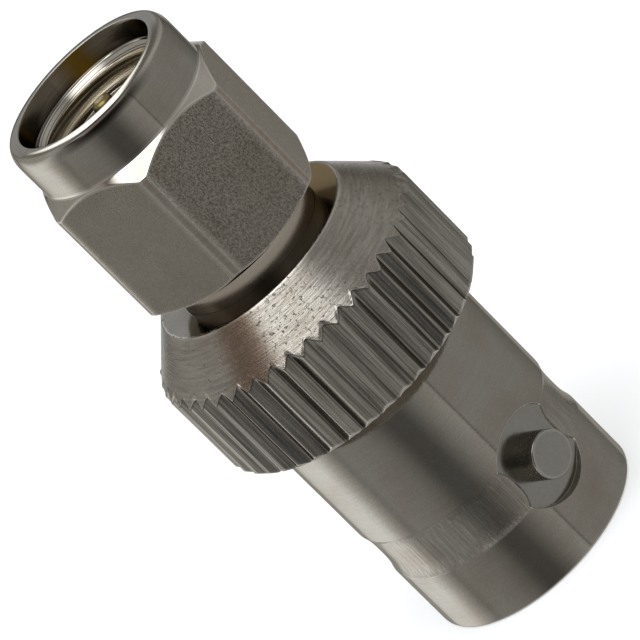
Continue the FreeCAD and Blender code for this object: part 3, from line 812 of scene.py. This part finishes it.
def makeNut():
    # Outside: for each column the back chamfer and the front chamfer meet the hexagon where
    # their cones reach its radius. Inside: bores, the ring's groove and the thread.
    n = nut
    radius, angles, landEdge, onLand, oddFlat = hexagonSection()
    backZ = n["back"] + (radius - n["backRadius"]) * math.tan(math.radians(n["backAngle"]))
    frontZ = n["noseStart"] - (radius - n["noseRadius"])

    def ringRows(pairs):
        return np.stack([np.stack([r + 0 * radius, z + 0 * radius], -1) for r, z in pairs])

    # rim: a quarter ellipse r = face + a cos s, z = top - b + b sin s, short across, tall along
    wide = n["noseRadius"] - n["faceRadius"]
    lastAngle = math.acos((n["crownRadius"] - n["faceRadius"]) / wide)
    arcBottom = n["front"] - n["crown"] - n["noseRounding"] * math.sin(lastAngle)
    arcRows = ringRows([
        (n["faceRadius"] + wide * math.cos(s), arcBottom + n["noseRounding"] * math.sin(s))
        for s in (*np.radians(n["roundingSteps"]), lastAngle)])
    outline = ringRows([
        (n["neckBore"] + 0.12, n["back"]), (n["backRadius"], n["back"]), (radius, backZ),
        (radius, frontZ), (n["noseRadius"], n["noseStart"]),
        (n["noseRadius"], arcBottom - 0.05)])
    rz, edge = roundCorners(outline, n["rounding"])
    per = len(rz) // len(outline)
    rz, edge = rz[per - 1:5 * per], edge[per - 1:5 * per]
    # middle of the flats, with a few rows so that the lands' edges hold their wear
    between = np.linspace(0, 1, 8)[1:-1, None, None]
    middle = rz[2 * per] * (1 - between) + rz[2 * per + 1] * between
    rz = np.concatenate([rz[:2 * per + 1], middle, rz[2 * per + 1:]])
    edge = np.concatenate([edge[:2 * per + 1], np.zeros(middle.shape[:2]), edge[2 * per + 1:]])

    # crown of the rim: z = front - crown * t^2, t from 1 at the rounding to 0 at the bore
    crown = np.linspace(1, 0.06, 12)[1:]
    width = n["crownRadius"] - n["mouthBore"]
    front, mouth, floor = n["front"], n["mouthBore"], n["mouthFloor"]
    face = ringRows([(mouth + width * t, front - n["crown"] * t * t) for t in crown]
                    + [(mouth + 0.010, front - 0.010), (mouth + 0.002, front - 0.035),
                       (mouth, front - 0.09), (mouth, front - 0.3), (mouth, front - 0.6),
                       (mouth, floor + 0.03), (mouth - 0.008, floor + 0.005)])
    # thread, opened by a lead-in cone: r = minor + lead - depth below the mouth's floor
    z = np.arange(floor, n["reliefTop"], -n["threadStep"])
    cone = n["minorRadius"] + n["threadLead"] - (floor - z)
    thread = np.maximum(threadRadius(angles[None], z[:, None]), cone[:, None])
    threadRows = np.stack([thread, z[:, None] + 0 * thread], -1)
    threadRows[0, :, 0] = np.maximum(threadRows[0, :, 0], n["minorRadius"] + n["threadLead"])
    neck, ringLow, ringHigh = n["neckBore"], n["ringBottom"], n["ringTop"]
    rest = ringRows([
        (n["reliefRadius"], n["reliefTop"]), (neck, n["reliefTop"] - 0.02),
        (neck, ringHigh + 0.02), (neck + 0.03, ringHigh), (n["ringFloor"], ringHigh),
        (n["ringFloor"], ringLow), (neck + 0.03, ringLow), (neck, ringLow - 0.02),
        (neck, n["back"] + 0.13), (neck + 0.01, n["back"] + 0.11),
        (neck + 0.11, n["back"] + 0.01)])
    full = np.concatenate([rz, arcRows, face, threadRows, rest])

    # wear and painted highlights on the edges of the hexagon, and a painted dark band of shade on
    # the rim's rounding
    wearAndPaintedLight = np.zeros(full.shape[:2])
    wearAndPaintedLight[:len(rz)] = edge
    onFlats = slice(per + 3, 2 * per + 11)
    wearAndPaintedLight[onFlats] = np.maximum(wearAndPaintedLight[onFlats], landEdge[None])
    wearAndPaintedLight *= n["wear"]
    faceStart = len(rz) + len(arcRows)
    wearAndPaintedLight[len(rz):faceStart] = (-np.array(n["rimShadeShares"])[:, None]
                                   * around(angles, *n["rimShade"])[None])
    # 0 turned, 1 milled flats, 2 bores, 3 thread, 4 lands, 5 every other flat, cut finer
    boreStart = faceStart + len(crown)
    firstTurn = faceStart + len(face)
    kinds = np.zeros(full.shape[:2], int)
    kinds[2 * per - 1:2 * per + 8] = np.where(onLand, 4, np.where(oddFlat, 5, 1))
    kinds[boreStart:] = 2
    kinds[firstTurn - 2:firstTurn + 13] = 0
    kinds[firstTurn + 13:firstTurn + len(threadRows)] = 3
    for row, share in n["toolLines"]:
        wearAndPaintedLight[firstTurn + row] = share
    tarnish = np.zeros(full.shape[:2])
    tarnish[boreStart + 1:firstTurn - 1] = (around(angles, *n["tarnish"], power=2)
                                            * n["tarnishShare"])
    makeSurface("coupling_nut_hexagon", spinPoints(full, angles), "nut", "coupling_nut",
                [nickel[k] for k in ("rim", "milled", "bore", "thread", "land", "fine")],
                wearAndPaintedLight=wearAndPaintedLight, rubbedFilmsAndShade=tarnish, kinds=kinds)


makeNut()


socket = {
    "front": 3.5, "fingerEnd": 7.5, "outer": 1.03, "bore": 0.69, "slot": 0.22, "lead": 0.12,
    "boreEnd": 8.7, "drillRadius": 0.3, "collarBottom": 12.8, "collarTop": 14.2,
    "collarRadius": 1.35, "tailRadius": 0.42, "tailFloor": 12.2, "rounding": 0.01,
    "fingerRows": [0.0, 0.012, 0.04, 0.12, 0.3, 1.5, 2.7, 4.0],      # mm from the front
    "endBevel": [0.04, 0.012, 0, 0, 0, 0, 0, 0], "fingerSteps": 13,
}


def makeSocket():
    # Closed ring behind the slots, and four fingers in front: each finger is the ring's section
    # between two slot faces, carried along Z, with its bore opened at the mouth. A slot's face
    # lies asin(slot / 2 / r) from the slot's middle.
    s = socket
    lathe("socket_root", [
        (s["bore"], s["fingerEnd"]), (s["outer"], s["fingerEnd"]),
        (s["outer"], s["collarBottom"]), (s["collarRadius"], s["collarBottom"]),
        (s["collarRadius"], s["collarTop"]), (s["tailRadius"], s["collarTop"]),
        (s["tailRadius"], s["tailFloor"]), (s["drillRadius"], s["tailFloor"]),
        (s["drillRadius"], s["boreEnd"]), (s["bore"], s["boreEnd"])],
        [s["rounding"]] * 10, 96, "socket_contact", goldPlate)
    z = s["front"] + np.array(s["fingerRows"])
    bore = s["bore"] + np.clip(s["lead"] - (z - s["front"]), 0, None)
    outer = s["outer"] - np.array(s["endBevel"])
    count = s["fingerSteps"]
    steps = np.linspace(0, 1, count)
    for k in range(4):
        start, end = math.radians(45 + 90 * k), math.radians(135 + 90 * k)
        loops = []
        for r, share in ((outer, steps), (bore, steps[::-1])):
            opening = np.arcsin(s["slot"] / 2 / r)[:, None]
            a = (start + opening) * (1 - share) + (end - opening) * share
            loops.append(np.stack([r[:, None] * np.cos(a), r[:, None] * np.sin(a),
                                   z[:, None] + 0 * a], -1))
        loop = np.concatenate(loops, 1)
        # each end closes on the line midway between bore and outside
        ends = [row * 0.5 + np.concatenate([row[:, :count - 1:-1], row[:, count - 1::-1]], 1) * 0.5
                for row in (loop[:1], loop[-1:])]
        makeSurface("socket_finger_%d" % (k + 1), np.concatenate([ends[0], loop, ends[1]]),
                    "adapter_body", "socket_contact", [goldPlate], along=False)


makeSocket()
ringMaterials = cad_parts["retaining_ring"].data.materials
ringMaterials.clear()
ringMaterials.append(springBronze)
print("pieces made")


cameraView = {
    "azimuth": -29.0,      # of the camera about Z, from +X, in degrees
    "elevation": 23.3, "distance": 241.4, "target": 12.88, "lens": 353.25, "roll": -45.07,
    "sensor": 36.0, "clip": (0.01, 10.0),      # the clip in metres
}


def makeCamera():
    # Place = target + distance * (cos a cos e, sin a cos e, sin e), looking back at the target
    # and rolled about the line of sight
    c = cameraView
    a, e = math.radians(c["azimuth"]), math.radians(c["elevation"])
    back = Vector((math.cos(a) * math.cos(e), math.sin(a) * math.cos(e), math.sin(e)))
    data = bpy.data.cameras.new("camera")
    data.lens, data.sensor_width = c["lens"], c["sensor"]
    data.clip_start, data.clip_end = c["clip"]
    camera = addObject("camera", data)
    camera.location = (Vector((0, 0, c["target"])) + back * c["distance"]) * millimetre
    camera.rotation_mode = "QUATERNION"
    upright = (-back).to_track_quat("-Z", "Y")
    camera.rotation_quaternion = upright @ Quaternion((0, 0, 1), math.radians(c["roll"]))
    bpy.context.scene.camera = camera


makeCamera()


# The light tent is a dome over the object. Its lower part glows by azimuth, which is counted
# from the camera's side, positive to the left; 1 is white paper. The camera stands in its dark
# gap, and a bright softbox stands at the left, behind.
tent = {
    "radius": 420.0, "columnStep": 1.25, "rowStep": 1.0, "top": 89.9,        # mm, degrees
    "wall": [(-180, 0.45), (-150, 0.45), (-142, 0.4), (-132, 0.5), (-113, 0.62),
             (-60, 0.64), (-36, 0.64), (-32, 0.68), (-31.2, 0.25), (-30.2, 0.25), (-29.4, 0.87),
             (-24, 0.76), (-12, 0.58), (0, 0.34), (8, 0.21), (24, 0.2), (30, 0.27),
             (36, 0.38), (48, 0.54), (60, 0.59), (78, 0.66), (82, 0.58), (85, 0.58), (88, 0.75),
             (92, 0.95), (98, 1.4), (103, 1.9), (110, 2.35), (123, 2.4), (132, 2.3),
             (138, 1.9), (144, 1.3), (150, 0.7), (156, 0.45), (180, 0.45)],
    "wallTop": [(-180, 6), (-134, 11), (-117, 20), (-98, 29), (-78, 35), (-55, 41), (-25, 46),
                (0, 47), (25, 46), (55, 41), (78, 35), (92, 30), (98, 27.5), (105, 22.5),
                (114, 18.5), (123, 14), (132, 10), (150, 5), (180, 4)],
    "fade": 3,                       # degrees over which the wall fades into the roof
    "roof": [(-180, 0.3), (-150, 0.8), (-113, 1.1), (-60, 0.82), (20, 0.8), (60, 0.62),
             (82, 0.78), (100, 1.0), (150, 1.0), (180, 0.3)],
    # a long box overhead: its sides by the angle to the left of the object's midline, its ends
    # by the angle along the midline from the camera's side (0) over the top (90) to the back
    "overhead": {"side": (-21, 34), "along": (54, 95), "soft": (14, 8, 5), "glow": 5.4},
    # sheets, as (middle, half width) in azimuth and (low, high) in elevation
    "backdrop": {"azimuth": (180, 17), "elevation": (9, 30), "soft": 6,
                 "glow": (1.04, 1.1, 1.2)},
    "rimStrip": {"azimuth": (178, 8), "elevation": (28, 54), "soft": 3, "glow": 5.5},
    "brownCloth": {"azimuth": (70, 15), "elevation": (40, 62), "soft": 4,
                   "glow": (0.36, 0.31, 0.29)},
    "cool": (1.0, 1.03, 1.08),       # tint of the brightest cloth
}


def smoothStep(depth):
    # 3 d^2 - 2 d^3 of the depth inside an edge, held between 0 and 1
    depth = np.clip(depth, 0, 1)
    return (depth * depth * (3 - 2 * depth))[..., None]


def inPanel(panel, azimuth, elevation):
    # 1 well inside the panel, falling smoothly to 0 over its soft margin
    middle, half = panel["azimuth"]
    off = np.abs((azimuth - middle + 180) % 360 - 180)
    lowE, highE = panel["elevation"]
    return smoothStep(np.minimum.reduce([half - off, elevation - lowE, highE - elevation])
                      / panel["soft"])


def makeTent():
    # Dome: point = R (cos e cos a, cos e sin a, sin e). Its glow, written on the points, is
    # wall * (1 - fade) + roof * fade, then each panel in turn mixed over it by its share.
    wallAt, wallGlow = np.array(tent["wall"], float).T
    a = np.unique(np.concatenate([np.arange(-180, 180, tent["columnStep"]), wallAt[:-1]]))
    e = np.concatenate([np.arange(-1, 90, tent["rowStep"]), [tent["top"]]])
    azimuth, elevation = np.meshgrid(a, e)
    wall = np.interp(azimuth, wallAt, wallGlow)
    top = np.interp(azimuth, *np.array(tent["wallTop"], float).T)
    roof = np.interp(azimuth, *np.array(tent["roof"], float).T)
    fade = np.clip((elevation - top) / tent["fade"] + 0.5, 0, 1)
    glow = (wall * (1 - fade) + roof * fade)[..., None] * np.ones(3)
    for panel in (tent["backdrop"], tent["rimStrip"], tent["brownCloth"]):
        share = inPanel(panel, azimuth, elevation)
        glow = glow * (1 - share) + np.array(panel["glow"]) * np.ones(3) * share
    da, de = np.radians(azimuth), np.radians(elevation)
    side = np.degrees(np.arcsin(np.cos(de) * np.sin(da)))
    along = np.degrees(np.arctan2(np.sin(de), np.cos(de) * np.cos(da)))
    box = tent["overhead"]
    share = smoothStep(np.minimum.reduce([
        (side - box["side"][0]) / box["soft"][0], (box["side"][1] - side) / box["soft"][1],
        (along - box["along"][0]) / box["soft"][2], (box["along"][1] - along) / box["soft"][2]]))
    glow = glow * (1 - share) + box["glow"] * share
    bright = np.clip(glow - 1, 0, 1)
    glow = glow * (1 + bright * (np.array(tent["cool"]) - 1))
    ra, re = np.radians(cameraView["azimuth"] - azimuth), np.radians(elevation)
    points = tent["radius"] * millimetre * np.stack(
        [np.cos(re) * np.cos(ra), np.cos(re) * np.sin(ra), np.sin(re)], -1)
    index = np.arange(azimuth.size).reshape(azimuth.shape)
    right = np.roll(index, -1, 1)
    quads = np.stack([index[:-1], right[:-1], right[1:], index[1:]], -1).reshape(-1, 4)
    mesh = bpy.data.meshes.new("lightTent")
    mesh.from_pydata(points.reshape(-1, 3).tolist(), [], quads.tolist())
    colour = np.concatenate([glow, np.ones((*azimuth.shape, 1))], -1).astype(np.float32)
    mesh.attributes.new("glow", "FLOAT_COLOR", "POINT").data.foreach_set("color",
                                                                         colour.ravel())
    mesh.shade_smooth()
    material, tree = startMaterial("lit tent cloth")
    value = addNode(tree, "Attribute", {"attribute_name": "glow"})
    light = addNode(tree, "Emission", {"Strength": 1.0},
                    {"Color": value.outputs["Color"]})
    addNode(tree, "OutputMaterial", {}, {"Surface": light.outputs[0]})
    mesh.materials.append(material)
    dome = addObject("light_tent", mesh)
    dome.visible_camera = False


makeTent()


stage = {"half": 3.0,              # half the side of the floor, in metres
         "paper": 0.48, "glow": 0.48, "sky": 0.9}


def makeFloor():
    # White paper: matt, and light = glow where the camera sees it itself or in a reflection,
    # so that it is white around the object and keeps the object's shadow
    half = stage["half"]
    mesh = bpy.data.meshes.new("floor")
    mesh.from_pydata([(-half, -half, 0), (half, -half, 0), (half, half, 0), (-half, half, 0)],
                     [], [(0, 1, 2, 3)])
    material, tree = startMaterial("white paper, matt")
    path = addNode(tree, "LightPath")
    seen = addNode(tree, "Math", {"operation": "MAXIMUM"},
                   {0: path.outputs["Is Camera Ray"], 1: path.outputs["Is Glossy Ray"]})
    seen = addNode(tree, "Math", {"operation": "MAXIMUM"},
                   {0: seen.outputs[0], 1: path.outputs["Is Transmission Ray"]})
    strength = addNode(tree, "Math", {"operation": "MULTIPLY", 1: stage["glow"]},
                       {0: seen.outputs[0]})
    matt = addNode(tree, "BsdfDiffuse", {"Color": (*(stage["paper"],) * 3, 1)})
    glow = addNode(tree, "Emission", {"Color": (1, 1, 1, 1)},
                   {"Strength": strength.outputs[0]})
    both = addNode(tree, "AddShader", {}, {0: matt.outputs[0], 1: glow.outputs[0]})
    addNode(tree, "OutputMaterial", {}, {"Surface": both.outputs[0]})
    mesh.materials.append(material)
    floor = addObject("floor", mesh)


makeFloor()
world = bpy.data.worlds.new("studio")
bpy.context.scene.world = world
world.use_nodes = True
world.node_tree.nodes.clear()
sky = addNode(world.node_tree, "Background",
              {"Color": (1, 1, 1, 1), "Strength": stage["sky"]})
addNode(world.node_tree, "OutputWorld", {}, {"Surface": sky.outputs[0]})
bpy.context.scene.view_settings.view_transform = "Standard"
print("light and floor made")
